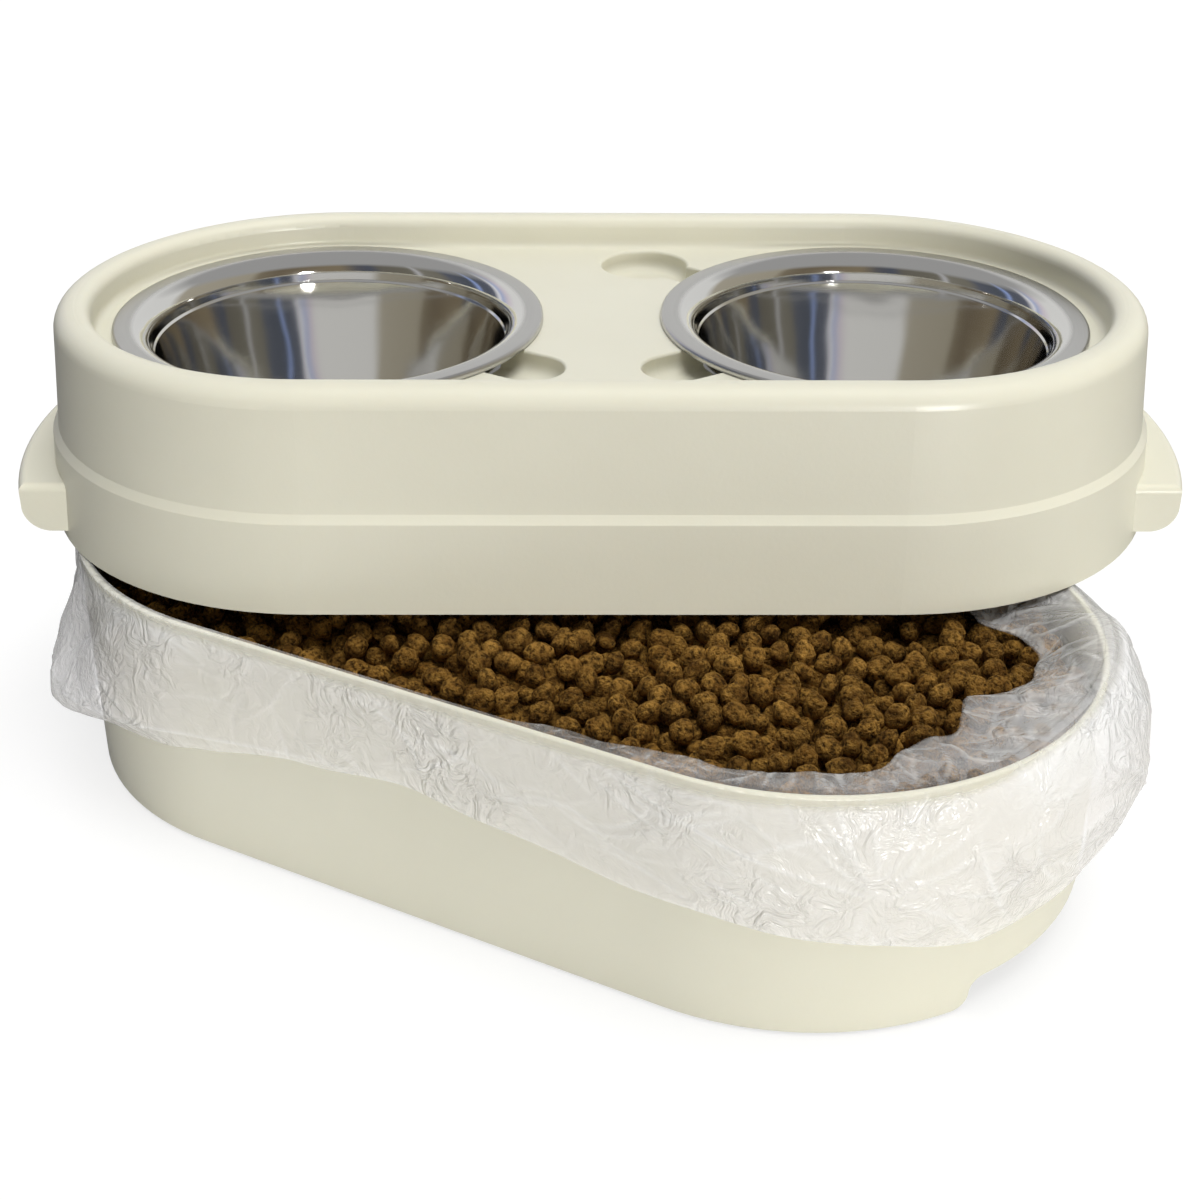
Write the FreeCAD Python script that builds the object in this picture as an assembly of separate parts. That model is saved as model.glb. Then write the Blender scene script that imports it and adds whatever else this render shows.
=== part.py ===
# Raised dog feeder: a two-bowl tray lying turned across a storage tub full of dry food in a film liner.
import FreeCAD
import Part
import math
import os

# Tray that carries the bowls: a moulded shell, outside sizes
tray_straight = 278.0
tray_height = 108.0
tray_wall = 3.0
skirt_width = 293.0
shoulder_width = 287.0
shoulder_height = 49.0
shoulder_rise = 4.0
shoulder_round = 0.8
band_width = 281.0
band_foot_round = 0.5
rim_width = 271.0
rim_breadth = 17.5
rim_outer_round = 10.5
rim_inner_round = 6.0
deck_drop = 17.0
deck_round = 4.0

# Bowl seats and the finger recesses beside them, placed from the bowl's centre
seat_hole_radius = 97.0
seat_collar_drop = 8.0
recess_depth = 10.5
recess_floor_round = 6.0
recess_edge_round = 1.5
front_recess_radius = 16.5
front_recess_reach = 122.6
front_recess_deg = 32.0
back_recess_radius = 23.5
back_recess_reach = 144.4
back_recess_deg = 37.5
back_channel_radius = 11.0

# Lifting ears at the tray's two ends
ear_reach = 14.0
ear_breadth = 140.0
ear_bow = 10.5
ear_top = 30.0
ear_bottom = 5.0
ear_lip = 14.0
ear_corner_round = 13.0
ear_edge_round = 4.0

# Pressed steel bowls
bowl_steel = 1.0
bowl_rim_radius = 109.0
bowl_mouth_radius = 91.0
bowl_depth = 84.0
bowl_edge_drop = 3.2
bowl_edge_round = 1.8
bowl_mouth_round = 7.0
bowl_step_drop = 7.5
bowl_step_width = 1.0
bowl_step_round = 0.6
bowl_neck_draw = 1.0
bowl_wall_draw = 15.0
bowl_floor_round = 14.0

# Storage tub, with a finger notch under each end
tub_straight = 252.0
tub_width = 280.0
tub_height = 123.0
tub_wall = 3.0
tub_floor_height = 18.0
tub_floor_round = 8.0
tub_rim_round = 1.3
notch_width = 136.0
notch_height = 14.5

# Push-in rubber feet in tubes under the tub's floor
foot_spacing_x = 300.0
foot_spacing_y = 170.0
foot_head_radius = 11.0
foot_head_height = 1.5
foot_head_round = 0.5
foot_stem_radius = 7.5
foot_stem_height = 10.0
foot_tube_wall = 3.0

# Film liner folded over the tub's rim, and the food in it
film = 0.8
fit_gap = 0.3
cuff_fold = 6.0
cuff_swell_drop = 38.0
cuff_drop = 76.0
cuff_side_swell = 3.0
cuff_left_swell = 11.0
cuff_right_swell = 18.0
cuff_hem_share = 0.45
food_headroom = 14.0
food_crown = 7.0
food_slope_round = 60.0
food_crown_share = 0.7

# How the loose tray lies across the tub
tray_turn_deg = 28.8
tray_offset_x = -27.8
tray_offset_y = 89.5

overrun = 5.0
up = FreeCAD.Vector(0, 0, 1)
centre = FreeCAD.Vector(0, 0, 0)
quarter_deg = 90
half_deg = 180

deck_height = tray_height - deck_drop
bowl_offset = tray_straight / 2
floor_top = tub_floor_height + tub_wall
tray_rest = tub_height + fit_gap + film + fit_gap


def unit(start, end):
    length = math.hypot(end[0] - start[0], end[1] - start[1])
    return (end[0] - start[0]) / length, (end[1] - start[1]) / length


def flat_point(x, z):
    return FreeCAD.Vector(x, 0, z)


def outline(corners):
    """Closed wire in the XZ plane through (x, z, radius) corners, each rounded to its radius."""
    joints = []
    for index, (x, z, radius) in enumerate(corners):
        before = corners[index - 1]
        after = corners[(index + 1) % len(corners)]
        to_before = unit((x, z), before)
        to_after = unit((x, z), after)
        cosine = to_before[0] * to_after[0] + to_before[1] * to_after[1]
        half_angle = math.acos(max(-1, min(1, cosine))) / 2
        back = radius / math.tan(half_angle)
        first = flat_point(x + to_before[0] * back, z + to_before[1] * back)
        last = flat_point(x + to_after[0] * back, z + to_after[1] * back)
        middle = None
        if radius > 0:
            inward = unit((0, 0), (to_before[0] + to_after[0], to_before[1] + to_after[1]))
            away = radius / math.sin(half_angle) - radius
            middle = flat_point(x + inward[0] * away, z + inward[1] * away)
        joints.append((first, middle, last))
    edges = []
    for index, (first, middle, last) in enumerate(joints):
        if middle is not None:
            edges.append(Part.Arc(first, middle, last).toShape())
        start_of_next = joints[(index + 1) % len(joints)][0]
        if not last.isEqual(start_of_next, Part.Precision.confusion()):
            edges.append(Part.LineSegment(last, start_of_next).toShape())
    return Part.Wire(edges)


def wall_profile(path, wall):
    """Corners of a wall of even thickness on the left of a path, its two ends cut level or upright."""
    offset = []
    for index, (x, z, radius) in enumerate(path):
        into = unit(path[index - 1], path[index]) if index else unit(path[0], path[1])
        out = unit(path[index], path[index + 1]) if index + 1 < len(path) else into
        turn = into[0] * out[1] - into[1] * out[0]
        bisector = (-into[1] - out[1], into[0] + out[0])
        scale = wall / (1 + into[0] * out[0] + into[1] * out[1])
        corner = [x + bisector[0] * scale, z + bisector[1] * scale]
        if index in (0, len(path) - 1):
            upright = abs(into[1]) > abs(into[0])
            slope = (z - corner[1]) / into[1] if upright else (x - corner[0]) / into[0]
            corner = [corner[0] + into[0] * slope, corner[1] + into[1] * slope]
        kept = radius - wall if turn > 0 else radius + wall
        offset.append((corner[0], corner[1], max(0, kept) if radius else 0))
    return path + offset[::-1]


def turned(shape, degrees):
    copy = shape.copy()
    copy.rotate(centre, up, degrees)
    return copy


def moved(shape, x, y, z):
    copy = shape.copy()
    copy.translate(FreeCAD.Vector(x, y, z))
    return copy


def joined(shapes):
    return shapes[0].multiFuse(shapes[1:]).removeSplitter()


def half_round(face, x, start_deg):
    place = FreeCAD.Vector(x, 0, 0)
    return moved(turned(face, start_deg), x, 0, 0).revolve(place, up, half_deg)


def straight_run(face, start_x, length, side_deg):
    run = FreeCAD.Vector(length, 0, 0)
    return moved(turned(face, side_deg), start_x, 0, 0).extrude(run)


def long_round(corners, straight):
    """Solid with two straight sides and two half-round ends, all of one half section."""
    face = Part.Face(outline(corners))
    half = straight / 2
    return joined([
        half_round(face, half, -quarter_deg),
        half_round(face, -half, quarter_deg),
        straight_run(face, -half, straight, quarter_deg),
        straight_run(face, -half, straight, -quarter_deg),
    ])


def round_solid(corners):
    return Part.Face(outline(corners)).revolve(centre, up, half_deg * 2)


def cylinder(radius, low, high):
    return Part.makeCylinder(radius, high - low, FreeCAD.Vector(0, 0, low), up)


def recess_face(radius, cup):
    """Half section of a finger recess with its edge eased into the deck, or of the cup that walls it."""
    floor = deck_height - recess_depth
    if cup:
        low = floor - tray_wall
        outside = radius + tray_wall
        corners = [
            (0, low, 0),
            (outside, low, recess_floor_round + tray_wall),
            (outside, deck_height, 0),
            (0, deck_height, 0),
        ]
    else:
        top = deck_height + overrun
        eased = radius + recess_edge_round
        corners = [
            (0, floor, 0),
            (radius, floor, recess_floor_round),
            (radius, deck_height, recess_edge_round),
            (eased, deck_height, 0),
            (eased, top, 0),
            (0, top, 0),
        ]
    return Part.Face(outline(corners))


def trough(face, length):
    """Round-ended channel of one half section, running along +X from its round end."""
    return joined([
        half_round(face, 0, quarter_deg),
        straight_run(face, 0, length, quarter_deg),
        straight_run(face, 0, length, -quarter_deg),
    ])


def beside_bowl(shape, reach, degrees, side):
    """Turn a recess's far end away from the bowl and set it beside the bowl on that side."""
    placed = turned(moved(shape, -reach, 0, 0), degrees)
    if side < 0:
        placed = placed.mirror(centre, FreeCAD.Vector(1, 0, 0))
    return moved(placed, side * bowl_offset, 0, 0)


def finger_recesses(cup):
    """Two front troughs, and at the right bowl's back a round dish with a narrower channel."""
    front_length = front_recess_reach - seat_hole_radius + tray_wall
    front = trough(recess_face(front_recess_radius, cup), front_length)
    back_length = back_recess_reach - seat_hole_radius + tray_wall
    dish = recess_face(back_recess_radius, cup).revolve(centre, up, half_deg * 2)
    back = joined([dish, trough(recess_face(back_channel_radius, cup), back_length)])
    return [
        beside_bowl(front, front_recess_reach, front_recess_deg, 1),
        beside_bowl(front, front_recess_reach, front_recess_deg, -1),
        beside_bowl(back, back_recess_reach, -back_recess_deg, 1),
    ]


def ear_block(inset, low, high):
    """Ear's plan, bowed along its outer edge, between two heights."""
    half = ear_breadth / 2 - inset
    tip = bowl_offset + skirt_width / 2 + ear_reach - inset
    corner = tip - ear_bow
    near = FreeCAD.Vector(bowl_offset, -half, low)
    near_out = FreeCAD.Vector(corner, -half, low)
    far_out = FreeCAD.Vector(corner, half, low)
    far = FreeCAD.Vector(bowl_offset, half, low)
    edges = [
        Part.LineSegment(near, near_out).toShape(),
        Part.Arc(near_out, FreeCAD.Vector(tip, 0, low), far_out).toShape(),
        Part.LineSegment(far_out, far).toShape(),
        Part.LineSegment(far, near).toShape(),
    ]
    return Part.Face(Part.Wire(edges)).extrude(FreeCAD.Vector(0, 0, high - low))


def edges_between(shape, low, high, from_x):
    """Edges lying level between two heights, beyond a distance out along X."""
    box_edges = []
    for edge in shape.Edges:
        box = edge.BoundBox
        if box.ZMin > low and box.ZMax < high and box.XMax > from_x:
            box_edges.append(edge)
    return box_edges


def ear():
    """Lifting ear: a top plate, a hanging lip and two end gussets, open below."""
    tip = bowl_offset + skirt_width / 2 + ear_reach
    from_x = tip - ear_bow - fit_gap
    block = ear_block(0, ear_bottom, ear_top)
    lower = edges_between(block, ear_bottom - fit_gap, ear_bottom + fit_gap, tip - fit_gap)
    block = block.makeFillet(ear_corner_round, lower)
    upper = edges_between(block, ear_top - fit_gap, ear_top + fit_gap, from_x)
    block = block.makeFillet(ear_edge_round, upper)
    pocket = ear_block(tray_wall, ear_bottom - overrun, ear_top - tray_wall)
    gusset_span = ear_breadth - tray_wall * 2
    under_lip = Part.makeBox(
        tip, gusset_span, ear_top - ear_lip - ear_bottom + overrun,
        FreeCAD.Vector(bowl_offset, -gusset_span / 2, ear_bottom - overrun))
    skirt_core = long_round([
        (skirt_width / 2 - tray_wall / 2, -overrun, 0),
        (shoulder_width / 2 - tray_wall / 2, shoulder_height, 0),
        (0, shoulder_height, 0),
        (0, -overrun, 0),
    ], tray_straight)
    return block.cut(pocket).cut(under_lip).cut(skirt_core)


def tray():
    """Moulded shell: skirt, shoulder, band, rolled rim and sunk deck, with seats, recesses and ears."""
    inner_rim = rim_width / 2 - rim_breadth
    shell = long_round(wall_profile([
        (skirt_width / 2, 0, 0),
        (shoulder_width / 2, shoulder_height - shoulder_rise, shoulder_round),
        (band_width / 2, shoulder_height, band_foot_round),
        (rim_width / 2, tray_height, rim_outer_round),
        (inner_rim, tray_height, rim_inner_round),
        (inner_rim, deck_height, deck_round),
        (0, deck_height, 0),
    ], tray_wall), tray_straight)
    collar_low = deck_height - tray_wall - seat_collar_drop
    collar = cylinder(seat_hole_radius + tray_wall, collar_low, deck_height)
    hole = cylinder(seat_hole_radius, collar_low - overrun - recess_depth, deck_height + overrun)
    right_ear = ear()
    sides = (-bowl_offset, bowl_offset)
    shell = joined(
        [shell, right_ear, turned(right_ear, half_deg)]
        + [moved(collar, x, 0, 0) for x in sides]
        + finger_recesses(True))
    for cutter in finger_recesses(False) + [moved(hole, x, 0, 0) for x in sides]:
        shell = shell.cut(cutter)
    return shell.removeSplitter()


def bowl():
    """Pressed bowl: turned-down edge, flat flange, step below the mouth, drawn-in wall and floor."""
    flange = deck_height + fit_gap + bowl_edge_drop
    step_radius = bowl_mouth_radius - bowl_neck_draw
    wall_radius = step_radius - bowl_step_width
    step = flange - bowl_step_drop
    floor = flange - bowl_depth
    return round_solid(wall_profile([
        (bowl_rim_radius, flange - bowl_edge_drop, 0),
        (bowl_rim_radius, flange, bowl_edge_round),
        (bowl_mouth_radius, flange, bowl_mouth_round),
        (step_radius, step, bowl_step_round),
        (wall_radius, step - bowl_step_width, bowl_step_round),
        (wall_radius - bowl_wall_draw, floor, bowl_floor_round),
        (0, floor, 0),
    ], bowl_steel))


def notch_cutter():
    """Finger notch across the tub's end, with sides that curve out of the bottom edge."""
    curve = notch_height / 2
    top = notch_width / 2
    foot = top + notch_height
    corners = [
        (foot + overrun, -overrun, 0),
        (foot + overrun, 0, 0),
        (top + curve, 0, curve),
        (top + curve, notch_height, curve),
        (-top - curve, notch_height, curve),
        (-top - curve, 0, curve),
        (-foot - overrun, 0, 0),
        (-foot - overrun, -overrun, 0),
    ]
    face = turned(Part.Face(outline(corners)), quarter_deg)
    face = moved(face, tub_straight / 2, 0, 0)
    return face.extrude(FreeCAD.Vector(tub_width, 0, 0))


def foot_places():
    x, y = foot_spacing_x / 2, foot_spacing_y / 2
    return {
        "front_left_foot": (-x, -y),
        "front_right_foot": (x, -y),
        "back_left_foot": (-x, y),
        "back_right_foot": (x, y),
    }


def tub():
    """Tub with its floor raised on a skirt, notched ends and four foot tubes under the floor."""
    outside = tub_width / 2
    inside = outside - tub_wall
    body = long_round([
        (outside, 0, 0),
        (outside, tub_height, tub_rim_round),
        (inside, tub_height, tub_rim_round),
        (inside, floor_top, tub_floor_round),
        (0, floor_top, 0),
        (0, tub_floor_height, 0),
        (inside, tub_floor_height, 0),
        (inside, 0, 0),
    ], tub_straight)
    bore = foot_stem_radius + fit_gap
    tube = cylinder(bore + foot_tube_wall, 0, floor_top).cut(cylinder(bore, 0, tub_floor_height))
    body = joined([body] + [moved(tube, x, y, 0) for x, y in foot_places().values()])
    notch = notch_cutter()
    return body.cut(notch).cut(turned(notch, half_deg)).removeSplitter()


def foot():
    return round_solid([
        (0, -foot_head_height, 0),
        (foot_head_radius, -foot_head_height, foot_head_round),
        (foot_head_radius, 0, foot_head_round),
        (foot_stem_radius, 0, 0),
        (foot_stem_radius, foot_stem_height, foot_head_round),
        (0, foot_stem_height, 0),
    ])


def cuff_ring(drop, swell_share, inset):
    """Level outline of the liner's cuff, swollen more at the ends than along the sides."""
    z = tub_height - drop
    half = tub_width / 2 + fit_gap + film + cuff_side_swell * swell_share - inset
    left = -tub_straight / 2 - cuff_left_swell * swell_share
    right = tub_straight / 2 + cuff_right_swell * swell_share
    front_right = FreeCAD.Vector(right, -half, z)
    right_tip = FreeCAD.Vector(right + half, 0, z)
    back_right = FreeCAD.Vector(right, half, z)
    back_left = FreeCAD.Vector(left, half, z)
    left_tip = FreeCAD.Vector(left - half, 0, z)
    front_left = FreeCAD.Vector(left, -half, z)
    return Part.Wire([
        Part.LineSegment(front_left, front_right).toShape(),
        Part.Arc(front_right, right_tip, back_right).toShape(),
        Part.LineSegment(back_right, back_left).toShape(),
        Part.Arc(back_left, left_tip, front_left).toShape(),
    ])


def cuff_loft(inset):
    rings = [
        cuff_ring(cuff_fold, 0, inset),
        cuff_ring(cuff_swell_drop, 1, inset),
        cuff_ring(cuff_drop, cuff_hem_share, inset),
    ]
    return Part.makeLoft(rings, True)


def liner():
    """Film bag: floor and sleeve inside the tub, a fold over its rim and a loose cuff outside."""
    outside = tub_width / 2 + fit_gap + film
    inside = tub_width / 2 - tub_wall - fit_gap - film
    top = tub_height + fit_gap + film
    fold_round = tub_rim_round + fit_gap + film
    sleeve = long_round(wall_profile([
        (outside, tub_height - cuff_fold, 0),
        (outside, top, fold_round),
        (inside, top, fold_round),
        (inside, floor_top + fit_gap + film, tub_floor_round - film),
        (0, floor_top + fit_gap + film, 0),
    ], film), tub_straight)
    cuff = cuff_loft(0).cut(cuff_loft(film))
    return joined([sleeve, cuff])


def food():
    """Heap of dry food filling the liner, a little crowned."""
    half = tub_width / 2 - tub_wall - fit_gap * 2 - film
    low = floor_top + fit_gap * 2 + film
    level = tub_height - food_headroom
    return long_round([
        (0, low, 0),
        (half, low, tub_floor_round),
        (half, level, 0),
        (half * food_crown_share, level + food_crown, food_slope_round),
        (0, level + food_crown, 0),
    ], tub_straight)


def on_tub(shape):
    """Place a piece of the tray assembly turned across the tub's rim."""
    return moved(turned(shape, tray_turn_deg), tray_offset_x, tray_offset_y, tray_rest)


def pieces():
    one_bowl = bowl()
    found = {
        "storage_tub": tub(),
        "liner_bag": liner(),
        "dog_food": food(),
        "bowl_tray": on_tub(tray()),
        "left_bowl": on_tub(moved(one_bowl, -bowl_offset, 0, 0)),
        "right_bowl": on_tub(moved(one_bowl, bowl_offset, 0, 0)),
    }
    for name, (x, y) in foot_places().items():
        found[name] = moved(foot(), x, y, 0)
    return found


def footprint_centre(shapes):
    """Middle of the whole feeder's box, seen from above."""
    box = FreeCAD.BoundBox()
    for shape in shapes:
        box.add(shape.optimalBoundingBox())
    return box.Center.x, box.Center.y


solids = pieces()
middle_x, middle_y = footprint_centre(solids.values())
os.makedirs("parts", exist_ok=True)
for node, solid in solids.items():
    placed = moved(solid, -middle_x, -middle_y, foot_head_height)
    placed.exportStep("parts/" + node + ".step")
    box = placed.BoundBox
    print(node, "valid" if placed.isValid() else "NOT VALID", len(placed.Solids), "solid, volume",
          round(placed.Volume), "box", round(box.XLength, 1), round(box.YLength, 1), round(box.ZLength, 1))
print("tub centre from the origin", round(-middle_x, 2), round(-middle_y, 2))
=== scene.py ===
import math

import bmesh
import bpy
import numpy as np
from mathutils import Matrix, Vector


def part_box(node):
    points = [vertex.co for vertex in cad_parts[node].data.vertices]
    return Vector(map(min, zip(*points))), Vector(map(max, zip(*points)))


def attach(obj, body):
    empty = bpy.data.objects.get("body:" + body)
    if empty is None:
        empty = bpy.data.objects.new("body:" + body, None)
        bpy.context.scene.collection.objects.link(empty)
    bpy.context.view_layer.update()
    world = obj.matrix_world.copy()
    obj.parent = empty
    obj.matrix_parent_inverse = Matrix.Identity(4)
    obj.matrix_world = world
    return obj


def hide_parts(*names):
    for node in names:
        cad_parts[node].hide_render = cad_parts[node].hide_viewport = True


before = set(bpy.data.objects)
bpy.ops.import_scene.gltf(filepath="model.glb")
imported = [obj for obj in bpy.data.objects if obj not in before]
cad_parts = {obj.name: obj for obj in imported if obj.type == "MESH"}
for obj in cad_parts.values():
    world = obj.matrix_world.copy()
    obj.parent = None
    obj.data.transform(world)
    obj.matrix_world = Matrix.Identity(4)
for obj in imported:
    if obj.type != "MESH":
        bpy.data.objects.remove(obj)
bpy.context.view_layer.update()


# Rubber feet
# Four soft rubber plugs, moulded in dark grey, pushed into tubes under the tub's floor.
# Their heads carry the whole feeder and keep it from sliding.
foot_grey = (0.028, 0.027, 0.026, 1)
foot_worn_grey = (0.060, 0.058, 0.055, 1)
foot_roughness = (0.62, 0.85)
foot_grain_scale = 700
foot_grain_strength = 0.4
foot_grain_depth = 0.0002
noise_span = (0.3, 0.7)  # where most values of a noise lie


def new_material(name):
    material = bpy.data.materials.new(name)
    material.use_nodes = True
    tree = material.node_tree
    return material, tree, tree.nodes["Principled BSDF"]


def add(tree, kind, **values):
    """New node, with settings and input values given by name."""
    node = tree.nodes.new(kind)
    for name, value in values.items():
        if hasattr(node, name):
            setattr(node, name, value)
        else:
            node.inputs[name.replace("_", " ").title()].default_value = value
    return node


def join(tree, source, target):
    tree.links.new(source, target)


def fill(tree, target, value):
    """Joins a socket to an input, or sets a plain value on it."""
    if isinstance(value, bpy.types.NodeSocket):
        join(tree, value, target)
    else:
        target.default_value = value


def math_node(tree, operation, *values):
    node = add(tree, "ShaderNodeMath", operation=operation)
    for target, value in zip(node.inputs, values):
        fill(tree, target, value)
    return node.outputs["Value"]


def colour_mix(tree, factor, first, second):
    """Mixed colour; each of the three inputs is a value or a socket."""
    node = add(tree, "ShaderNodeMix", data_type="RGBA")
    for index, value in ((0, factor), (6, first), (7, second)):
        fill(tree, node.inputs[index], value)
    return node.outputs[2]


def spread(tree, value, span, result=(0, 1)):
    """Value stretched from one span to another and held inside it."""
    node = add(tree, "ShaderNodeMapRange", clamp=True)
    join(tree, value, node.inputs["Value"])
    for name, number in zip(("From Min", "From Max", "To Min", "To Max"), (*span, *result)):
        node.inputs[name].default_value = number
    return node.outputs["Result"]


def bumped(tree, height, strength, depth, shader):
    node = add(tree, "ShaderNodeBump", strength=strength, distance=depth)
    join(tree, height, node.inputs["Height"])
    join(tree, node.outputs["Normal"], shader.inputs["Normal"])


def cover(thing, material):
    thing.data.materials.clear()
    thing.data.materials.append(material)


foot_rubber, tree, shader = new_material("foot_rubber_matte")
place = add(tree, "ShaderNodeTexCoord")
grain = add(tree, "ShaderNodeTexNoise", scale=foot_grain_scale, detail=4)
join(tree, place.outputs["Object"], grain.inputs["Vector"])
join(tree, colour_mix(tree, grain.outputs["Fac"], foot_grey, foot_worn_grey), shader.inputs["Base Color"])
join(tree, spread(tree, grain.outputs["Fac"], noise_span, foot_roughness), shader.inputs["Roughness"])
bumped(tree, grain.outputs["Fac"], foot_grain_strength, foot_grain_depth, shader)
for corner in ("front_left", "front_right", "back_left", "back_right"):
    cover(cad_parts[corner + "_foot"], foot_rubber)


# Storage tub
# One thin-walled injection moulding in warm ivory plastic, round-ended, with a finger notch under each end.
# The steel mould leaves a satin skin with a faint orange peel, and use leaves it slightly clouded.
ivory = (0.780, 0.762, 0.640, 1)
ivory_clouded = (0.745, 0.726, 0.602, 1)
ivory_roughness = (0.30, 0.38)
ivory_glow = 0.06
ivory_glow_reach = (0.004, 0.003, 0.002)
cloud_scale = 7
peel_scale = 420
peel_strength = 0.08
peel_depth = 0.00025


def moulded_skin_group():
    """Clouding and orange peel of a moulded plastic skin."""
    group = bpy.data.node_groups.new("moulded_skin", "ShaderNodeTree")
    group.interface.new_socket("Vector", in_out="INPUT", socket_type="NodeSocketVector")
    for name in ("Cloud", "Peel"):
        group.interface.new_socket(name + " Scale", in_out="INPUT", socket_type="NodeSocketFloat")
        group.interface.new_socket(name, in_out="OUTPUT", socket_type="NodeSocketFloat")
    given = group.nodes.new("NodeGroupInput")
    made = group.nodes.new("NodeGroupOutput")
    for name, detail in (("Cloud", 5), ("Peel", 2)):
        noise = add(group, "ShaderNodeTexNoise", detail=detail, roughness=0.6)
        join(group, given.outputs["Vector"], noise.inputs["Vector"])
        join(group, given.outputs[name + " Scale"], noise.inputs["Scale"])
        join(group, spread(group, noise.outputs["Fac"], noise_span), made.inputs[name])
    return group


moulded_skin = moulded_skin_group()


def ivory_plastic(name):
    material, tree, shader = new_material(name)
    place = add(tree, "ShaderNodeTexCoord")
    skin = add(tree, "ShaderNodeGroup", node_tree=moulded_skin)
    skin.inputs["Cloud Scale"].default_value = cloud_scale
    skin.inputs["Peel Scale"].default_value = peel_scale
    join(tree, place.outputs["Object"], skin.inputs["Vector"])
    join(tree, colour_mix(tree, skin.outputs["Cloud"], ivory, ivory_clouded), shader.inputs["Base Color"])
    join(tree, spread(tree, skin.outputs["Cloud"], (0, 1), ivory_roughness), shader.inputs["Roughness"])
    shader.inputs["Subsurface Weight"].default_value = ivory_glow
    shader.inputs["Subsurface Radius"].default_value = ivory_glow_reach
    shader.inputs["Subsurface Scale"].default_value = 1
    bumped(tree, skin.outputs["Peel"], peel_strength, peel_depth, shader)
    return material


tub_low, tub_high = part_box("storage_tub")
tub_centre = (tub_low + tub_high) / 2
tub_rim = tub_high.z
tub_round = (tub_high.y - tub_low.y) / 2
tub_half_straight = (tub_high.x - tub_low.x) / 2 - tub_round
cover(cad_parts["storage_tub"], ivory_plastic("tub_ivory_plastic"))


# Film liner
# A bag of thin milky polythene film lines the tub, with its mouth turned out over the rim as a loose cuff.
# Nothing fixes it: the food holds the inside down, and the cuff hangs in slack folds, fullest at the ends.
# The lists give sizes at distances along the rim, from the front's left corner and on to the right.
film_steps = 900
film_gap = 0.0006
film_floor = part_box("liner_bag")[0].z + film_gap / 2
tub_wall = 0.003
easing_reach = 0.018
merge_distance = 1e-7

# Rows of the mesh, from the middle of the floor to the hem.
floor_rows = 4
floor_round = 0.008
floor_round_rows = 4
sleeve_rows = 6
sleeve_top_drop = 0.024
under_rows = 5
under_curve = 0.7
loose_rows = 26
rim_rows = 9
rim_lift = 0.0008
cuff_rows = 62

# The cuff's hem and slack, and the loose film inside the rim.
hem_drops = (
    (0.000, 0.066), (0.063, 0.053), (0.126, 0.050), (0.220, 0.059), (0.333, 0.074), (0.404, 0.084),
    (0.472, 0.091), (0.618, 0.085), (0.818, 0.066), (1.090, 0.075), (1.298, 0.086))
hem_wave = 0.0022
hem_waves = ((0.6, 37, 0), (0.4, 83, 1.3))
hem_flare = 0.0012
slacks = (
    (0.000, 0.0060), (0.060, 0.0025), (0.200, 0.0018), (0.333, 0.0045), (0.404, 0.0100),
    (0.472, 0.0200), (0.533, 0.0220), (0.618, 0.0150), (0.700, 0.0080), (0.944, 0.0060),
    (1.090, 0.0100), (1.298, 0.0185), (1.347, 0.0120))
slack_places = ((0.0, 0.55), (0.333, 0.50), (0.472, 0.39), (0.700, 0.45), (1.090, 0.60), (1.298, 0.84))
slack_fullness = 0.8
loose_reaches = (
    (0.000, 0.004), (0.120, 0.004), (0.180, 0.016), (0.250, 0.021), (0.300, 0.019), (0.345, 0.024),
    (0.385, 0.042), (0.415, 0.034), (0.450, 0.046), (0.490, 0.028), (0.540, 0.036), (0.587, 0.052),
    (0.692, 0.012), (0.800, 0.004))
ragged_waves = ((0.10, 47, 0), (0.07, 101, 2), (0.02, 229, 0))
loose_drops = (
    (0.000, 0.0140), (0.140, 0.0140), (0.226, 0.0070), (0.333, 0.0055), (0.587, 0.0055),
    (0.692, 0.0120), (0.800, 0.0140))
crests = ((0.000, 0.000), (0.385, 0.000), (0.430, 0.007), (0.490, 0.010), (0.535, 0.008), (0.560, 0.000))
crest_fade = 0.15

# Creases: random ones in the cuff, short ones in the loose film, a fan at a pucker and two long folds.
crease_seed = 5
puckers = ((0.342, 0.047), (1.274, 0.062))
crease_count = 720
crease_drops = (-0.05, 0.09)
crease_sizes = (0.3, 1)
crease_growths = ((0.007, 0.022), (0.0012, 0.0040), (0.0005, 0.0021))  # length, breadth and rise
crease_stray = 0.5
crease_bend = 9
loose_crease_count = 170
loose_crease_places = (0.14, 0.70)
loose_crease_drops = (-0.045, 0.002)
loose_crease_rises = (0.0010, 0.0034)
loose_crease_lengths = (0.006, 0.020)
loose_crease_breadths = (0.0014, 0.0036)
loose_crease_stray = 0.6
loose_crease_bend = 15
fan_turns = (200, 222, 236, 262, 291, 304, 338)
fan_reaches = (0.018, 0.034)
fan_length = 0.8
fan_breadth = 0.0020
fan_rise = 0.0018
fan_bend = 6
long_folds = ((0.000, 0.056, -0.08, 0.120, 0.0040, 0.0034, 0), (0.270, 0.022, 0.33, 0.060, 0.0036, 0.0030, 0))
fold_width = 0.0011
sharpest_fold = 0.0030
loose_edge_creasing = 0.12
loose_fold_gain = 2.5
rim_folds = (
    (0.000, 2.0), (0.060, 0.4), (0.200, 0.0), (0.380, 0.0), (0.420, 2.4), (0.700, 2.2), (0.900, 1.5),
    (1.300, 2.4))
rim_fold_gain = 0.5
rim_fold_fade = 0.3
tight_creasing = 0.3
slack_creasing = 0.9
cuff_crease_start = 0.03
cuff_crease_span = 0.85
cuff_crease_fullness = 0.6

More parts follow.
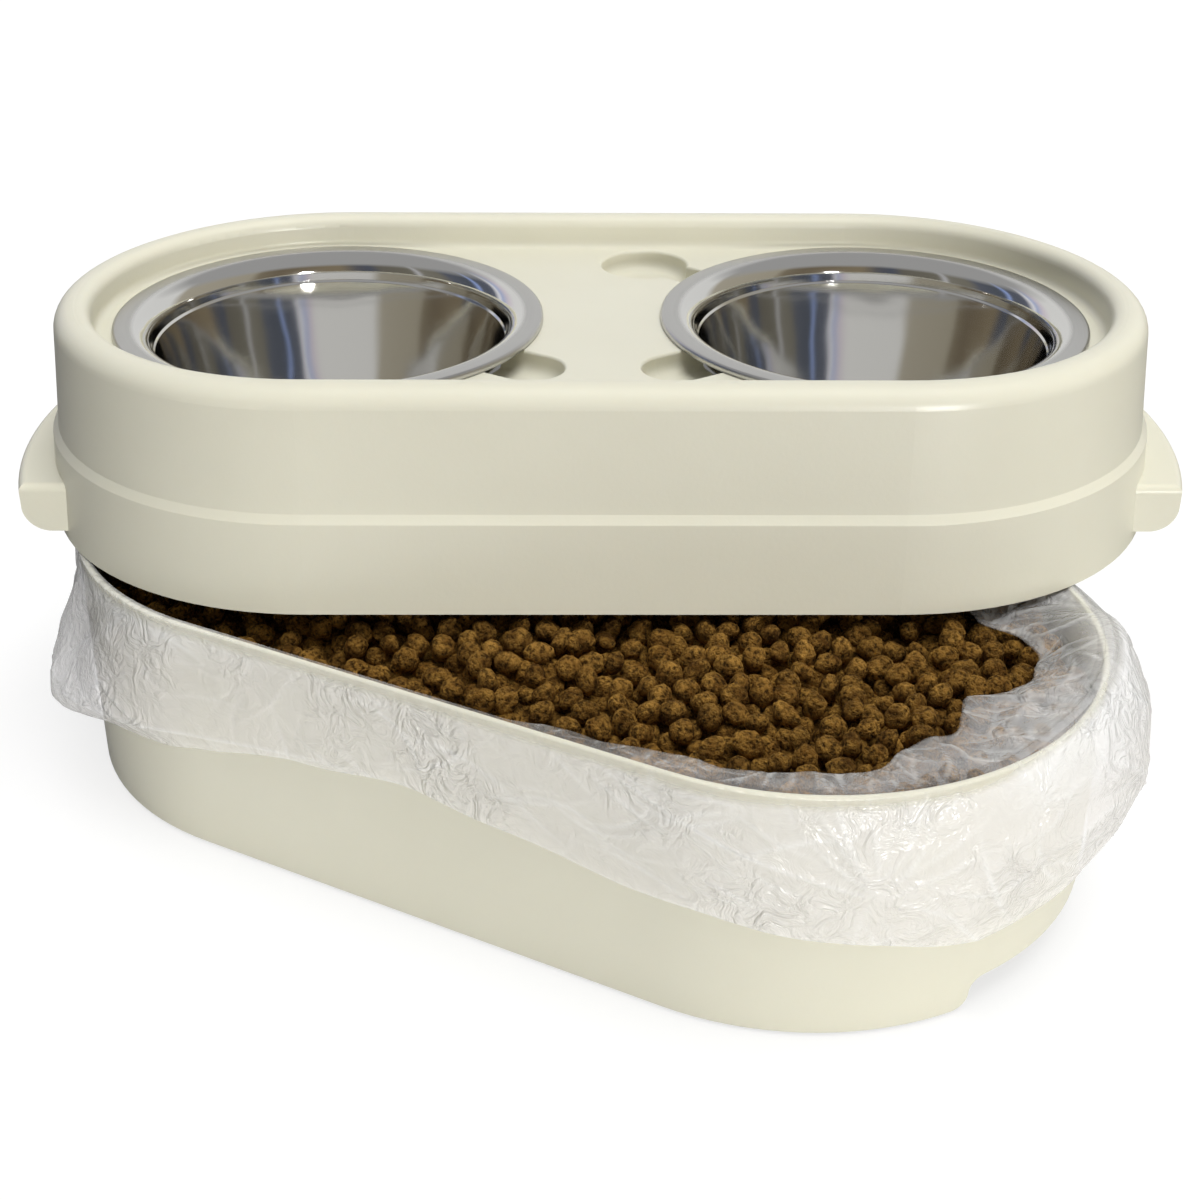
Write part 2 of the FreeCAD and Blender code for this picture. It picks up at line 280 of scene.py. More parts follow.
# Looks: how much each part of the film hides, and how it is crumpled.
film_white = (0.930, 0.910, 0.912, 1)
# The brighter, bluish white along the folds is a painted highlight.
painted_fold_highlight = (0.970, 0.970, 0.985, 1)
film_roughness = (0.12, 0.22)
film_specular = 1.0
cuff_start = (0.002, 0.006)
cuff_haze = (0.10, 0.52)
bag_end = (-0.0085, -0.0070)
bag_haze = (0.18, 0)
doubled_start = (0.15, 0.35)
doubled_end = (0.70, 0.85)
doubled_haze = (0, 0.14)
patch_scale = 15
patch_haze = (-0.06, 0.12)
fold_haze = 0.13
haze_in_shadow = 0.4
crumple_scale = 75
crumple_patches = (0.42, 0.62)
crumple_shares = (0.2, 1)
crumple_strength = 0.9
crumple_depth = 0.010


def rim_walk(count):
    """Even steps round the rim: places on the tub's middle line, outward directions, distances and girth."""
    side = 2 * tub_half_straight
    arc = math.pi * tub_round
    girth = 2 * (side + arc)
    run = np.arange(count) * girth / count
    turned = np.clip(run - side, 0, arc) + np.clip(run - 2 * side - arc, 0, arc)
    turn = turned / tub_round - math.pi / 2
    spine = np.clip(run, 0, side) - np.clip(run - side - arc, 0, side) - tub_half_straight
    return spine, np.column_stack([np.cos(turn), np.sin(turn)]), run, girth


def ring_of_points(spine, outward, radius, height):
    """Ring round the tub's middle line; the distance from it and the height are one number or one a step."""
    x = tub_centre.x + spine + outward[:, 0] * radius
    y = tub_centre.y + outward[:, 1] * radius
    return np.column_stack([x, y, np.broadcast_to(height, x.shape)])


def ringed_mesh(name, rings, across=None, pitch=0, down=None, folds=None):
    """Smooth mesh through closed rings; the way across and down is its UV map and the folds an attribute."""
    count = len(rings[0])
    work = bmesh.new()
    uv = work.loops.layers.uv.new("way") if down is not None else None
    mark = work.verts.layers.float.new("fold") if folds is not None else None
    rows = [[work.verts.new(point) for point in ring] for ring in rings]
    if mark:
        for row, values in zip(rows, folds):
            for corner, value in zip(row, values):
                corner[mark] = value
    for row, (first, second) in enumerate(zip(rows, rows[1:])):
        for step in range(count):
            after = (step + 1) % count
            face = work.faces.new((first[step], second[step], second[after], first[after]))
            face.smooth = True
            if uv:
                places = ((step, row, 0), (step, row + 1, 0), (after, row + 1, pitch), (after, row, pitch))
                for loop, (at, level, further) in zip(face.loops, places):
                    loop[uv].uv = (across[step] + further, down[level][at])
    bmesh.ops.remove_doubles(work, verts=work.verts, dist=merge_distance)
    bmesh.ops.dissolve_degenerate(work, edges=work.edges, dist=merge_distance)
    mesh = bpy.data.meshes.new(name)
    work.to_mesh(mesh)
    work.free()
    return mesh


def shown(name, mesh):
    thing = bpy.data.objects.new(name, mesh)
    bpy.context.scene.collection.objects.link(thing)
    return thing


spine, outward, run, girth = rim_walk(film_steps)


def along_rim(places):
    """Sizes given at a few distances along the rim, eased into one another all the way round."""
    where, sizes = zip(*places)
    values = np.interp(run, where, sizes, period=girth)
    reach = round(easing_reach / girth * film_steps)
    window = np.hanning(2 * reach + 1)
    return np.convolve(np.pad(values, reach, mode="wrap"), window / window.sum(), mode="valid")


def waved(waves):
    """Sum of waves along the rim, each given by its size, rate and start."""
    return sum(size * np.sin(run * rate + start) for size, rate, start in waves)


def short_way(distance):
    """Distance along the rim taken the shorter way round, less than nothing to the left."""
    return (distance + girth / 2) % girth - girth / 2


hem_drop = along_rim(hem_drops) + hem_wave * waved(hem_waves)
slack = along_rim(slacks)
slack_power = math.log(0.5) / np.log(along_rim(slack_places))
loose_reach = along_rim(loose_reaches) * (1 + waved(ragged_waves))
loose_edge = tub_rim - along_rim(loose_drops)
crest = along_rim(crests)


def crease_lines():
    """All the film's creases, each as a place along the rim, a drop below it, a turn, a length, a breadth,
    a rise and a bend. The random ones turn towards the nearer pucker."""
    draw = np.random.default_rng(crease_seed)
    lines = []
    for _ in range(crease_count):
        place, drop = draw.uniform(0, girth), draw.uniform(*crease_drops)
        size = draw.uniform(*crease_sizes) ** 2
        pulls = [(short_way(pucker - place), low - drop) for pucker, low in puckers]
        nearest = min(pulls, key=lambda pull: math.hypot(*pull))
        turn = math.atan2(nearest[1], nearest[0]) + draw.normal(0, crease_stray)
        length, breadth, rise = (least + growth * size for least, growth in crease_growths)
        rise *= draw.choice((-1, 1))
        lines.append((place, drop, turn, length, breadth, rise, draw.normal(0, crease_bend)))
    for _ in range(loose_crease_count):
        place, drop = draw.uniform(*loose_crease_places), draw.uniform(*loose_crease_drops)
        turn = math.pi / 2 + draw.normal(0, loose_crease_stray)
        rise = draw.choice((-1, 1)) * draw.uniform(*loose_crease_rises)
        length, breadth = draw.uniform(*loose_crease_lengths), draw.uniform(*loose_crease_breadths)
        lines.append((place, drop, turn, length, breadth, rise, draw.normal(0, loose_crease_bend)))
    pucker, low = puckers[0]
    for turn in np.radians(fan_turns):
        reach = draw.uniform(*fan_reaches)
        place, drop = pucker + reach * math.cos(turn), low + reach * math.sin(turn)
        lines.append((place, drop, turn, reach * fan_length, fan_breadth, fan_rise, draw.normal(0, fan_bend)))
    return lines + list(long_folds)


def creased(drop, lines):
    """Height of all the creases at one drop below the rim, and how sharply they fold the film."""
    height = np.zeros(film_steps)
    fold = np.zeros(film_steps)
    for place, centre_drop, turn, length, breadth, rise, bend in lines:
        sideways = short_way(run - place)
        down = drop - centre_drop
        along = sideways * math.cos(turn) + down * math.sin(turn)
        across = np.abs(down * math.cos(turn) - sideways * math.sin(turn) - bend * along ** 2)
        fading = np.exp(-(along / length) ** 2)
        height += rise * fading * np.exp(-across / breadth)
        fold = np.maximum(fold, abs(rise) / sharpest_fold * fading * np.exp(-(across / fold_width) ** 2))
    return height, fold


def film_rings():
    """Rings from the middle of the bag's floor up the wall, over the food and rim, and down to the hem."""
    lines = crease_lines()
    inside = -(tub_wall + film_gap)
    foot = inside - floor_round
    sleeve_foot = film_floor + floor_round
    sleeve_top = tub_rim - sleeve_top_drop
    plain = np.zeros(film_steps)
    rings, folds = [], []

    def lay(offset, height, fold=plain):
        rings.append(ring_of_points(spine, outward, tub_round + offset, height))
        folds.append(fold)

    for share in np.linspace(0, 1, floor_rows):
        lay((tub_round + foot) * share - tub_round, film_floor)
    for angle in np.linspace(0, math.pi / 2, floor_round_rows)[1:]:
        lay(foot + floor_round * math.sin(angle), film_floor + floor_round * (1 - math.cos(angle)))
    for share in np.linspace(0, 1, sleeve_rows)[1:]:
        lay(inside, sleeve_foot + (sleeve_top - sleeve_foot) * share)
    for share in np.linspace(0, 1, under_rows)[1:-1]:
        lay(inside - loose_reach * share, sleeve_top + (loose_edge - sleeve_top) * share ** under_curve)
    puff = crest / crest.max()
    over_rim = along_rim(rim_folds)
    for share in np.linspace(0, 1, loose_rows)[:-1]:
        reach = loose_reach * (1 - share)
        climb = share + puff * (math.sin(math.pi / 2 * share) - share)
        creasing = math.sin(math.pi * (loose_edge_creasing + (1 - loose_edge_creasing) * share))
        rise, fold = creased(-reach, lines)
        rise = rise * loose_reach / loose_reach.max() * creasing
        fold = loose_fold_gain * fold + over_rim * share ** 3
        lay(inside - reach, loose_edge + (tub_rim + crest - loose_edge) * climb + rise, fold)
    for angle in np.linspace(math.pi, 0, rim_rows)[:-1]:
        offset = (tub_wall / 2 + film_gap) * math.cos(angle) - tub_wall / 2
        lay(offset, tub_rim + crest + rim_lift * math.sin(angle), over_rim)
    rim_row = len(rings)
    looseness = tight_creasing + slack_creasing * slack / slack.max()
    for share in np.linspace(0, 1, cuff_rows):
        drop = hem_drop * share
        hang = np.sin(math.pi * share ** slack_power) ** slack_fullness
        crease_share = min(1, cuff_crease_start + cuff_crease_span * share)
        creasing = math.sin(math.pi * crease_share) ** cuff_crease_fullness
        rise, fold = creased(drop, lines)
        rise = rise * looseness * creasing
        fold = fold + rim_fold_gain * over_rim * max(0, 1 - share / rim_fold_fade)
        offset = film_gap + np.maximum(0, slack * hang + hem_flare * share + rise)
        lay(offset, tub_rim + crest * max(0, 1 - share / crest_fade) - drop, fold)
    steps = [np.linalg.norm(second - first, axis=1) for first, second in zip(rings, rings[1:])]
    down = np.vstack([np.zeros(film_steps), np.cumsum(steps, axis=0)])
    return rings, down - down[rim_row], folds


def polythene_film():
    """Milky see-through film, with a painted highlight of brighter white along its folds, clearest over the
    rim and crumpled in patches.
    It scatters light onwards, so it shades less than it hides."""
    material, tree, shader = new_material("polythene_film")
    way = add(tree, "ShaderNodeUVMap", uv_map="way")
    part = add(tree, "ShaderNodeSeparateXYZ")
    join(tree, way.outputs["UV"], part.inputs["Vector"])
    along, down = part.outputs["X"], part.outputs["Y"]
    fold = add(tree, "ShaderNodeAttribute", attribute_name="fold").outputs["Fac"]
    place = add(tree, "ShaderNodeTexCoord")
    crumple = add(tree, "ShaderNodeTexNoise", scale=crumple_scale, detail=4, roughness=0.55, distortion=1.0)
    patches = add(tree, "ShaderNodeTexNoise", scale=patch_scale, detail=2)
    for node in (crumple, patches):
        join(tree, place.outputs["Object"], node.inputs["Vector"])
    patch = patches.outputs["Fac"]
    # Painted highlight: the folds are coloured a brighter white.
    join(tree, colour_mix(tree, fold, film_white, painted_fold_highlight), shader.inputs["Base Color"])
    join(tree, spread(tree, patch, noise_span, film_roughness), shader.inputs["Roughness"])
    shader.inputs["Specular IOR Level"].default_value = film_specular

    cuff = spread(tree, down, cuff_start, cuff_haze)
    haze = math_node(tree, "MAXIMUM", cuff, spread(tree, down, bag_end, bag_haze))
    doubled = spread(tree, along, doubled_start, doubled_haze)
    for share in (spread(tree, along, doubled_end, (1, 0)), spread(tree, down, cuff_start)):
        doubled = math_node(tree, "MULTIPLY", doubled, share)
    patchy = spread(tree, patch, noise_span, patch_haze)
    for more in (doubled, patchy, math_node(tree, "MULTIPLY", fold, fold_haze)):
        haze = math_node(tree, "ADD", haze, more)
    ray = add(tree, "ShaderNodeLightPath")
    shade = spread(tree, ray.outputs["Is Shadow Ray"], (0, 1), (1, haze_in_shadow))
    join(tree, math_node(tree, "MULTIPLY", haze, shade), shader.inputs["Alpha"])

    ridged = math_node(tree, "ABSOLUTE", math_node(tree, "SUBTRACT", crumple.outputs["Fac"], 0.5))
    height = math_node(tree, "MULTIPLY", ridged, spread(tree, patch, crumple_patches, crumple_shares))
    bumped(tree, height, crumple_strength, crumple_depth, shader)
    return material


rings, way_down, folds = film_rings()
film_liner = shown("film_liner", ringed_mesh("film_liner", rings, run, girth / film_steps, way_down, folds))
cover(film_liner, polythene_film())
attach(film_liner, "tub")
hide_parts("liner_bag")


# Dry food
# Baked pieces, each a rough ball 10 to 16 mm across, heaped a little higher in the middle.
# They lie loose in the liner, two layers deep where the heap shows.
kibble_spacing = 0.0098
kibble_density = 40000
kibble_radius = 0.0061
kibble_least = (0.78, 0.80, 0.70)
kibble_most = (1.20, 1.30, 1.06)
kibble_lump = 0.0055
kibble_lump_scale = 120
kibble_seed = 11
kibble_sink = 0.6
layer_drop = 0.0085
heap_rings = 26
heap_stride = 5
heap_edge_inset = 0.0085
heap_roll = 0.0018
heap_crown = 0.007
heap_flat_share = 0.55
heap_fall_share = 0.45
film_clearance = 0.0110
film_overlap = 0.009
# Painted shade: the crumb's low places, its pits, are coloured near black.
kibble_pit_shade = (0.030, 0.014, 0.004, 1)
kibble_umber = (0.120, 0.055, 0.012, 1)
kibble_brown = (0.300, 0.145, 0.030, 1)
kibble_gold = (0.640, 0.345, 0.078, 1)
kibble_roughness = (0.92, 0.62)
kibble_specular = 0.1
toast_scale = 120
toast_span = (0.35, 0.68)
toast_shares = (0, 0.85)
crumb_scale = 420
crumb_depth = 0.0070
pit_span = (0.36, 0.56)
pit_shares = (0.9, 0)
meal_gold = (0.50, 0.31, 0.09, 1)
meal_scale = 900
meal_span = (0.62, 0.72)
meal_shares = (0, 0.5)


def heap_surface():
    """Top of the heap: crowned in the middle, gently rolling, and lower where the loose film lies over it."""
    low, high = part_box("dog_food")
    outer = (high.y - low.y) / 2 - heap_edge_inset
    reach, edge = loose_reach[::heap_stride], loose_edge[::heap_stride]
    rings = []
    for share in np.linspace(0, 1, heap_rings):
        ring = ring_of_points(spine[::heap_stride], outward[::heap_stride], share * outer, 0)
        slope = min(1, max(0, (share - heap_flat_share) / heap_fall_share))
        level = high.z - heap_crown * slope * slope * (3 - 2 * slope) - kibble_radius * kibble_sink
        x, y = ring[:, 0], ring[:, 1]
        level = level + heap_roll * (np.sin(x * 31 + 1) * np.cos(y * 37) + np.sin(x * 64))
        covered = (reach + film_overlap - (tub_round - tub_wall - share * outer)) / reach
        film_height = edge + (tub_rim - edge) * np.maximum(0, covered - film_overlap / reach)
        ring[:, 2] = np.where(covered > 0, np.minimum(level, film_height - film_clearance), level)
        rings.append(ring)
    return ringed_mesh("dry_food_surface", rings)


def socket(sockets, name):
    """First socket of that name that is in use on its node."""
    return next(s for s in sockets if s.name == name and s.enabled)


def random_between(tree, kind, low, high, seed):
    node = add(tree, "FunctionNodeRandomValue", data_type=kind)
    socket(node.inputs, "Min").default_value = low
    socket(node.inputs, "Max").default_value = high
    join(tree, seed, socket(node.inputs, "Seed"))
    return socket(node.outputs, "Value")


def heap_tree(material):
    """Scatters rough balls over two layers of a surface, each with its own turn, size, lumps and tone,
    and closes the heap with a bed."""
    tree = bpy.data.node_groups.new("dry_food_heap", "GeometryNodeTree")
    sockets = tree.interface
    sockets.new_socket("Surface", in_out="INPUT", socket_type="NodeSocketGeometry")
    for name in ("Spacing", "Radius", "Layer Drop", "Lump", "Lump Scale"):
        sockets.new_socket(name, in_out="INPUT", socket_type="NodeSocketFloat")
    sockets.new_socket("Seed", in_out="INPUT", socket_type="NodeSocketInt")
    sockets.new_socket("Heap", in_out="OUTPUT", socket_type="NodeSocketGeometry")
    given = tree.nodes.new("NodeGroupInput")
    made = tree.nodes.new("NodeGroupOutput")
    seed = given.outputs["Seed"]

    down = add(tree, "ShaderNodeVectorMath", operation="SCALE")
    down.inputs[0].default_value = (0, 0, -1)
    join(tree, given.outputs["Layer Drop"], down.inputs["Scale"])
    lower = add(tree, "GeometryNodeTransform")
    join(tree, given.outputs["Surface"], lower.inputs["Geometry"])
    join(tree, down.outputs["Vector"], lower.inputs["Translation"])
    layers = add(tree, "GeometryNodeJoinGeometry")
    join(tree, given.outputs["Surface"], layers.inputs["Geometry"])
    join(tree, lower.outputs["Geometry"], layers.inputs["Geometry"])

    scatter = add(tree, "GeometryNodeDistributePointsOnFaces", distribute_method="POISSON")
    socket(scatter.inputs, "Density Max").default_value = kibble_density
    join(tree, layers.outputs["Geometry"], scatter.inputs["Mesh"])
    join(tree, given.outputs["Spacing"], socket(scatter.inputs, "Distance Min"))
    join(tree, seed, scatter.inputs["Seed"])

    ball = add(tree, "GeometryNodeMeshIcoSphere")
    ball.inputs["Subdivisions"].default_value = 2
    join(tree, given.outputs["Radius"], ball.inputs["Radius"])
    strewn = add(tree, "GeometryNodeInstanceOnPoints")
    turn = add(tree, "FunctionNodeEulerToRotation")
    any_turn = random_between(tree, "FLOAT_VECTOR", (0, 0, 0), (2 * math.pi,) * 3, seed)
    join(tree, any_turn, turn.inputs["Euler"])
    join(tree, scatter.outputs["Points"], strewn.inputs["Points"])
    join(tree, ball.outputs["Mesh"], strewn.inputs["Instance"])
    join(tree, turn.outputs["Rotation"], strewn.inputs["Rotation"])
    any_size = random_between(tree, "FLOAT_VECTOR", kibble_least, kibble_most, seed)
    join(tree, any_size, strewn.inputs["Scale"])
    tone = add(tree, "GeometryNodeStoreNamedAttribute", data_type="FLOAT", domain="INSTANCE")
    tone.inputs["Name"].default_value = "tone"
    join(tree, strewn.outputs["Instances"], tone.inputs["Geometry"])
    join(tree, random_between(tree, "FLOAT", 0.0, 1.0, seed), socket(tone.inputs, "Value"))
    real = add(tree, "GeometryNodeRealizeInstances")
    join(tree, tone.outputs["Geometry"], real.inputs["Geometry"])

    lumps = add(tree, "ShaderNodeTexNoise", detail=2)
    join(tree, given.outputs["Lump Scale"], lumps.inputs["Scale"])
    either_way = math_node(tree, "SUBTRACT", lumps.outputs["Fac"], 0.5)
    rise = math_node(tree, "MULTIPLY", either_way, given.outputs["Lump"])
    normal = add(tree, "GeometryNodeInputNormal")
    push = add(tree, "ShaderNodeVectorMath", operation="SCALE")
    join(tree, normal.outputs["Normal"], push.inputs[0])
    join(tree, rise, push.inputs["Scale"])
    lumpy = add(tree, "GeometryNodeSetPosition")
    join(tree, real.outputs["Geometry"], lumpy.inputs["Geometry"])
    join(tree, push.outputs["Vector"], lumpy.inputs["Offset"])
    bedded = add(tree, "GeometryNodeJoinGeometry")
    join(tree, lumpy.outputs["Geometry"], bedded.inputs["Geometry"])
    join(tree, lower.outputs["Geometry"], bedded.inputs["Geometry"])
    smooth = add(tree, "GeometryNodeSetShadeSmooth")
    join(tree, bedded.outputs["Geometry"], smooth.inputs["Geometry"])
    coat = add(tree, "GeometryNodeSetMaterial")
    coat.inputs["Material"].default_value = material
    join(tree, smooth.outputs["Geometry"], coat.inputs["Geometry"])
    join(tree, coat.outputs["Geometry"], made.inputs["Heap"])
    return tree


def baked_kibble():
    """Matt brown crumb, toned piece by piece, with painted shade darkening its pits, and with golden grains
    of meal in it.
    """
    material, tree, shader = new_material("baked_kibble")
    place = add(tree, "ShaderNodeTexCoord")
    tone = add(tree, "ShaderNodeAttribute", attribute_name="tone")
    crumb = add(tree, "ShaderNodeTexNoise", scale=crumb_scale, detail=4, roughness=0.62)
    meal = add(tree, "ShaderNodeTexNoise", scale=meal_scale, detail=2)
    toast = add(tree, "ShaderNodeTexNoise", scale=toast_scale, detail=2)
    for node in (crumb, meal, toast):
        join(tree, place.outputs["Object"], node.inputs["Vector"])
    colour = colour_mix(tree, tone.outputs["Fac"], kibble_umber, kibble_brown)
    # The pits of the crumb get painted shade.
    for noise, span, shares, over in (
            (toast, toast_span, toast_shares, kibble_gold),
            (crumb, pit_span, pit_shares, kibble_pit_shade),
            (meal, meal_span, meal_shares, meal_gold)):
        colour = colour_mix(tree, spread(tree, noise.outputs["Fac"], span, shares), colour, over)
    join(tree, colour, shader.inputs["Base Color"])
    join(tree, spread(tree, crumb.outputs["Fac"], noise_span, kibble_roughness), shader.inputs["Roughness"])
    shader.inputs["Specular IOR Level"].default_value = kibble_specular
    bumped(tree, crumb.outputs["Fac"], 1.0, crumb_depth, shader)
    return material


def set_inputs(modifier, **values):
    """Sets a node modifier's inputs through their sockets' identifiers."""
    for item in modifier.node_group.interface.items_tree:
        key = item.name.lower().replace(" ", "_")
        if item.in_out == "INPUT" and key in values:
            modifier[item.identifier] = values[key]


def plain_mesh(thing):
    """Turns an object's modified shape into its own mesh and removes the modifiers."""
    ready = thing.evaluated_get(bpy.context.evaluated_depsgraph_get())
    mesh = bpy.data.meshes.new_from_object(ready)
    thing.modifiers.clear()
    thing.data = mesh


dry_food = shown("dry_food_heap", heap_surface())
strew = dry_food.modifiers.new("strew", "NODES")
strew.node_group = heap_tree(baked_kibble())
set_inputs(strew, spacing=kibble_spacing, radius=kibble_radius, layer_drop=layer_drop, lump=kibble_lump,
           lump_scale=float(kibble_lump_scale), seed=kibble_seed)
plain_mesh(dry_food)
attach(dry_food, "tub")
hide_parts("dog_food")


# Bowl tray
# One injection moulding in the same ivory plastic, with skirt, shoulder, rolled rim, sunk deck and ears.
# It lies loose across the lined tub, turned from it, and carries the bowls in two round holes.
cover(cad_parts["bowl_tray"], ivory_plastic("tray_ivory_plastic"))


# Steel bowls
# Two deep-drawn stainless bowls that drop into the tray and hang by a flat flange with a turned-down edge.
# The flange is brushed satin, the inside is polished, and a pressed step runs round below the mouth.
bowl_steel = 0.001
bowl_mouth = 0.091
bowl_mouth_round = 0.011
bowl_edge_drop = 0.0032
bowl_edge_round = 0.0018
bowl_step_drop = 0.0135
bowl_step_width = 0.001
bowl_step_round = 0.0006
bowl_neck_draw = 0.001
bowl_wall_draw = 0.015
bowl_floor_round = 0.014
bowl_steps = 192
bowl_arc_steps = 10
bowl_longest_run = 0.006
steel_satin = (0.61, 0.605, 0.595, 1)
steel_polished = (0.77, 0.765, 0.75, 1)
satin_end = (0.0110, 0.0135)
satin_roughness = (0.28, 0.38)
polished_roughness = (0.06, 0.11)
brush_scale = (3, 900, 1)
brush_share = 0.01
dent_scale = 24
dent_strength = 0.5
dent_depth = 0.0012


def rounded_path(corners):
    """Points along a path of (radius, height, round) corners, each round corner as an arc."""
    path = [Vector(corners[0][:2])]
    for before, corner, after in zip(corners, corners[1:], corners[2:]):
        at = Vector(corner[:2])
        to_before = (Vector(before[:2]) - at).normalized()
        to_after = (Vector(after[:2]) - at).normalized()
        half_angle = to_before.angle(to_after) / 2
        middle = at + (to_before + to_after).normalized() * (corner[2] / math.sin(half_angle))
        start = at + to_before * (corner[2] / math.tan(half_angle))
        end = at + to_after * (corner[2] / math.tan(half_angle))
        spoke = start - middle
        sweep = spoke.angle_signed(end - middle)
        for step in range(bowl_arc_steps + 1):
            path.append(middle + Matrix.Rotation(-sweep * step / bowl_arc_steps, 2) @ spoke)
    path.append(Vector(corners[-1][:2]))
    return path


def divided(path, longest):
    """The same path with long straight runs divided."""
    fine = [path[0]]
    for start, end in zip(path, path[1:]):
        parts = max(1, math.ceil((end - start).length / longest))
        fine.extend(start.lerp(end, part / parts) for part in range(1, parts + 1))
    return fine


def bowl_mesh(name, node):
    """Turned shell on the node's own axis, with the way round and the way down as its UV map."""
    low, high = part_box(node)
    middle = (low + high) / 2
    rim = (high.x - low.x) / 2
    floor = low.z + bowl_steel - high.z
    neck = bowl_mouth - bowl_neck_draw
    wall = neck - bowl_step_width
    path = divided(rounded_path([
        (rim, -bowl_edge_drop, 0),
        (rim, 0, bowl_edge_round),
        (bowl_mouth, 0, bowl_mouth_round),
        (neck, -bowl_step_drop, bowl_step_round),
        (wall, -bowl_step_drop - bowl_step_width, bowl_step_round),
        (wall - bowl_wall_draw, floor, bowl_floor_round),
        (0, floor, 0),
    ]), bowl_longest_run)
    lengths = np.cumsum([0] + [(end - start).length for start, end in zip(path, path[1:])])
    turn = 2 * math.pi * np.arange(bowl_steps) / bowl_steps
    rings = []
    for radius, height in reversed(path):
        level = np.full(bowl_steps, high.z + height)
        x, y = middle.x + radius * np.cos(turn), middle.y + radius * np.sin(turn)
        rings.append(np.column_stack([x, y, level]))
    down = [np.full(bowl_steps, length) for length in reversed(lengths)]
    return ringed_mesh(name, rings, np.arange(bowl_steps) / bowl_steps, 1 / bowl_steps, down)


def bowl_steel_material(name):
    """Stainless steel, brushed round the flange and polished below it."""
    material, tree, shader = new_material(name)
    way = add(tree, "ShaderNodeUVMap", uv_map="way")
    part = add(tree, "ShaderNodeSeparateXYZ")
    join(tree, way.outputs["UV"], part.inputs["Vector"])
    flange = spread(tree, part.outputs["Y"], satin_end, (1, 0))
    drawn = add(tree, "ShaderNodeMapping")
    drawn.inputs["Scale"].default_value = brush_scale
    join(tree, way.outputs["UV"], drawn.inputs["Vector"])
    brush = add(tree, "ShaderNodeTexNoise", scale=1, detail=5, roughness=0.7)
    join(tree, drawn.outputs["Vector"], brush.inputs["Vector"])
    join(tree, colour_mix(tree, flange, steel_polished, steel_satin), shader.inputs["Base Color"])
    satin = spread(tree, brush.outputs["Fac"], noise_span, satin_roughness)
    polish = spread(tree, brush.outputs["Fac"], noise_span, polished_roughness)
    blend = add(tree, "ShaderNodeMix", data_type="FLOAT")
    for index, value in ((0, flange), (2, polish), (3, satin)):
        join(tree, value, blend.inputs[index])
    join(tree, blend.outputs[0], shader.inputs["Roughness"])
    shader.inputs["Metallic"].default_value = 1
    place = add(tree, "ShaderNodeTexCoord")
    dents = add(tree, "ShaderNodeTexNoise", scale=dent_scale, detail=1)
    join(tree, place.outputs["Object"], dents.inputs["Vector"])
    brushed = math_node(tree, "MULTIPLY", brush.outputs["Fac"], brush_share)
    height = math_node(tree, "ADD", brushed, dents.outputs["Fac"])
    bumped(tree, height, dent_strength, dent_depth, shader)
    return material


steel = bowl_steel_material("stainless_steel")
for side in ("left", "right"):
    piece = shown(side + "_steel_bowl", bowl_mesh(side + "_steel_bowl", side + "_bowl"))
    cover(piece, steel)
    thicken = piece.modifiers.new("sheet", "SOLIDIFY")
    thicken.thickness = bowl_steel
    thicken.offset = -1
    plain_mesh(piece)
    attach(piece, side + "_bowl")
    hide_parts(side + "_bowl")


# Studio
# A pale floor in a soft room with light and dark walls, a wide key light overhead and a low fill in front.
# A white board lies before the feeder and is seen only by reflected light.
# The camera stands where the photograph was taken, a metre off and looking down.
floor_reach = 12
floor_white = (0.30, 0.30, 0.30, 1)
floor_roughness = 0.6
floor_glow = 0.72
board_centre = (0.22, -0.28, 0)
board_edge = (0.36, 0.54)
board_white = (0.88, 0.88, 0.87, 1)
room_floor = (0.18, 0.18, 0.18, 1)
lamps = (  # heading, height, strength, width and whether the steel mirrors it
    ("key_light", 10, 80, 2.10, 40, False),
    ("fill_light", -40, 4, 1.55, 10, True))
lamp_colour = (1.0, 1.0, 0.985)
room_walls = (
    (0.000, (0.10, 0.11, 0.14)), (0.022, (0.10, 0.11, 0.14)), (0.032, (0.32, 0.42, 0.75)),
    (0.045, (0.08, 0.09, 0.11)), (0.100, (0.10, 0.11, 0.14)), (0.125, (0.18, 0.17, 0.14)),
    (0.165, (0.20, 0.19, 0.16)), (0.175, (0.50, 0.50, 0.52)), (0.188, (0.16, 0.15, 0.12)),
    (0.250, (0.14, 0.13, 0.11)), (0.270, (0.08, 0.09, 0.12)), (0.300, (0.10, 0.10, 0.11)),
    (0.330, (0.22, 0.18, 0.12)), (0.440, (0.16, 0.13, 0.09)), (0.480, (0.20, 0.17, 0.12)),
    (0.500, (0.36, 0.33, 0.26)), (0.660, (0.40, 0.37, 0.30)), (0.690, (0.72, 0.72, 0.71)),
    (0.900, (0.74, 0.74, 0.73)), (0.925, (0.66, 0.60, 0.66)), (0.950, (0.40, 0.46, 0.66)),
    (0.962, (0.80, 0.80, 0.84)), (0.980, (0.12, 0.13, 0.17)), (1.000, (0.10, 0.11, 0.14)))
ceiling_start = (0.54, 0.74)
ceiling_white = (0.36, 0.36, 0.36, 1)
mirrored_ceiling_start = (0.20, 0.60)
mirrored_ceiling = (1.15, 1.13, 1.08, 1)
past_first_mirror = 1.5
backdrop_white = (1.0, 1.0, 1.0, 1)
camera_heading = math.radians(28.07)
camera_tilt = math.radians(29.02)
camera_roll = math.radians(0.38)
camera_distance = 1.0199
camera_lens = 54.98
camera_sensor = 36
target_below_tray = 0.0734

